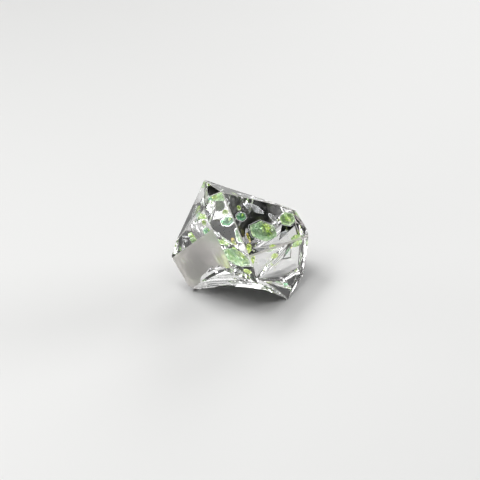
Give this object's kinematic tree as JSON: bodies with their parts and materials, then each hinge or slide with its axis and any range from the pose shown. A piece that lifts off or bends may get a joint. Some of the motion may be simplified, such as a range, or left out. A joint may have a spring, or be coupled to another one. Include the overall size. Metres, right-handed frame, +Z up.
{
  "type": "petroleum quartz crystal",
  "caption": "Loose clear quartz crystal, short and thick with faces on all sides, a broken foot with a conchoidal hollow, and green petroleum pockets sealed in it along a healed crack.",
  "frame": {"origin": "on the ground, under the middle of the crystal's box", "axes": "+Z up from the broken foot, +X along the longest side, -Y towards the hollowed front"},
  "size_m": [0.0174, 0.0156, 0.0158],
  "materials": {
    "quartz": "clear, glossy growth faces",
    "petroleum": "clear green liquid, sealed in the quartz",
    "veil": "thin film of fluid that glints white"
  },
  "bodies": {
    "root": {"quartz_crystal": "quartz", "quartz_crystal_front": "quartz", "petroleum_great": "petroleum", "petroleum_right": "petroleum", "petroleum_crest": "petroleum", "petroleum_corner": "petroleum", "petroleum_amber": "petroleum", "petroleum_keel": "petroleum", "petroleum_ledge": "petroleum", "petroleum_shoulder": "petroleum", "petroleum_low": "petroleum", "veil_crest": "veil", "veil_smear": "veil", "veil_peak": "veil", "veil_right": "veil", "veil_keel": "veil", "veil_left": "veil"}
  },
  "joints": []
}
